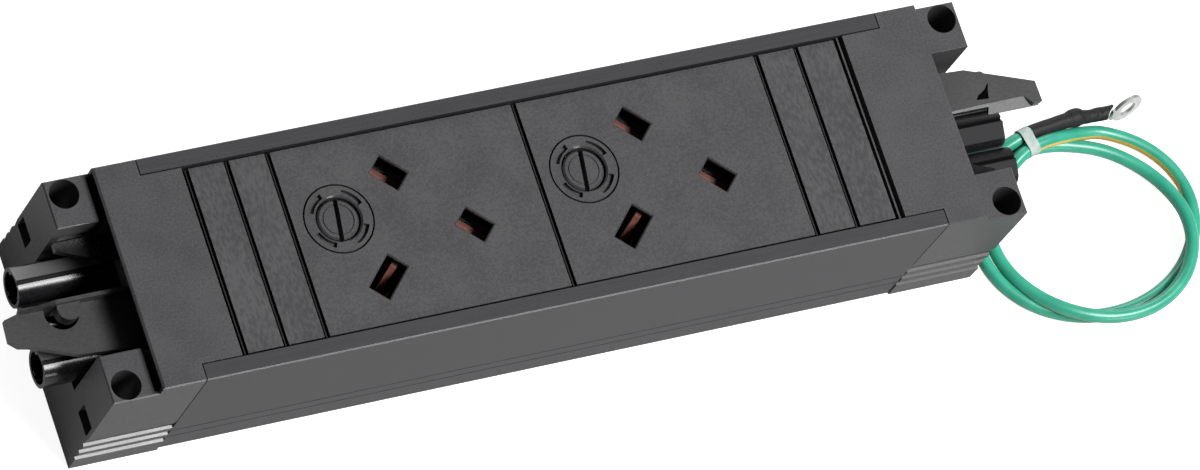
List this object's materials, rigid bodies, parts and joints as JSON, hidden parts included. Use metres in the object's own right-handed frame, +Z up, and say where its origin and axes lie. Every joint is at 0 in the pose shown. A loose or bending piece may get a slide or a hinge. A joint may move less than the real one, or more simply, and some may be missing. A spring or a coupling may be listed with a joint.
{
  "type": "in-desk power outlet module",
  "caption": "Long black power outlet module: channel body with angled three-pin sockets, fuse carriers, end caps with screw ears, latching connectors and a coiled earth lead.",
  "frame": {"origin": "underside of the body, in the middle of its length and width", "axes": "+X along the body from the inlet end to the outlet end, +Y across it to the side away from the viewer, +Z up through the socket faces"},
  "size_m": [0.3008, 0.0716, 0.0415],
  "materials": {
    "black_metal": "satin black anodised and coated aluminium",
    "black_plastic": "fine sparked texture, satin",
    "inner_plastic": "plain moulded",
    "shutter_plastic": "reddish brown moulding",
    "contact_brass": "pressed strip",
    "steel": "zinc plated",
    "fuse_ceramic": "glazed ceramic with plated ends",
    "black_rubber": "semi-matt",
    "green_sheath": "green insulation with a yellow stripe",
    "white_plastic": "plain white",
    "tinned_metal": "tinned copper"
  },
  "bodies": {
    "module": {"channel": "black_metal", "end_cap_left": "black_plastic", "end_cap_right": "black_plastic", "blank_strip_1": "black_plastic", "blank_strip_2": "black_plastic", "blank_strip_3": "black_plastic", "blank_strip_4": "black_plastic", "socket_face_1": "black_plastic", "socket_face_2": "black_plastic", "fuse_holder_1": "black_plastic", "fuse_holder_2": "black_plastic", "connector_left": "black_plastic", "connector_right": "black_plastic", "socket_back_1": "inner_plastic", "socket_back_2": "inner_plastic", "bus_tray": "inner_plastic", "live_contact_1": "contact_brass", "live_contact_2": "contact_brass", "neutral_contact_1": "contact_brass", "neutral_contact_2": "contact_brass", "earth_contact_1": "contact_brass", "earth_contact_2": "contact_brass", "fuse_clip_1": "contact_brass", "fuse_clip_2": "contact_brass", "fuse_foot_1": "contact_brass", "fuse_foot_2": "contact_brass", "live_bus": "contact_brass", "neutral_bus": "contact_brass", "earth_bus": "contact_brass", "live_pin": "contact_brass", "neutral_pin": "contact_brass", "earth_pin": "contact_brass", "live_sleeve": "contact_brass", "neutral_sleeve": "contact_brass", "earth_sleeve": "contact_brass", "cap_screws": "steel", "bond_screw": "steel", "shutter_spring_1": "steel", "shutter_spring_2": "steel", "lead_bush": "black_rubber", "heat_shrink": "black_rubber", "lead_inside": "green_sheath", "earth_lead": "green_sheath", "earth_coil": "green_sheath", "lead_wrap": "white_plastic", "ring_terminal": "tinned_metal"},
    "shutter_1": {"shutter_1": "shutter_plastic"},
    "fuse_1": {"fuse_link_1": "fuse_ceramic"},
    "fuse_cap_1": {"fuse_cap_1": "black_plastic"},
    "shutter_2": {"shutter_2": "shutter_plastic"},
    "fuse_2": {"fuse_link_2": "fuse_ceramic"},
    "fuse_cap_2": {"fuse_cap_2": "black_plastic"},
    "tongue_left": {"tongue_left": "black_plastic"},
    "tongue_right": {"tongue_right": "black_plastic"}
  },
  "joints": [
    {"name": "shutter_1_slide", "type": "slide", "parent": "module", "child": "shutter_1", "axis": [0.7071, 0.7071, 0], "range_m": [0, 0.005], "stiffness_N_per_m": 150, "springref_m": -0.003, "deforming": ["shutter_spring_1"]},
    {"name": "fuse_1_pull", "type": "slide", "parent": "module", "child": "fuse_1", "axis": [0, 0, 1], "range_m": [0, 0.032]},
    {"name": "fuse_cap_1_twist", "type": "hinge", "parent": "fuse_1", "child": "fuse_cap_1", "pos_m": [-0.0492, 0.0039, 0.0376], "axis": [0, 0, 1], "range_deg": [0, 90]},
    {"name": "shutter_2_slide", "type": "slide", "parent": "module", "child": "shutter_2", "axis": [0.7071, 0.7071, 0], "range_m": [0, 0.005], "stiffness_N_per_m": 150, "springref_m": -0.003, "deforming": ["shutter_spring_2"]},
    {"name": "fuse_2_pull", "type": "slide", "parent": "module", "child": "fuse_2", "axis": [0, 0, 1], "range_m": [0, 0.032]},
    {"name": "fuse_cap_2_twist", "type": "hinge", "parent": "fuse_2", "child": "fuse_cap_2", "pos_m": [0.0105, 0.0039, 0.0376], "axis": [0, 0, 1], "range_deg": [0, 90]},
    {"name": "tongue_left_lift", "type": "hinge", "parent": "module", "child": "tongue_left", "pos_m": [-0.0932, 0, 0.031], "axis": [0, 1, 0], "range_deg": [0, 5], "stiffness_Nm_per_rad": 0.8, "springref_deg": -2.86},
    {"name": "tongue_right_lift", "type": "hinge", "parent": "module", "child": "tongue_right", "pos_m": [0.0932, 0, 0.031], "axis": [0, -1, 0], "range_deg": [0, 5], "stiffness_Nm_per_rad": 0.8, "springref_deg": -2.86}
  ]
}
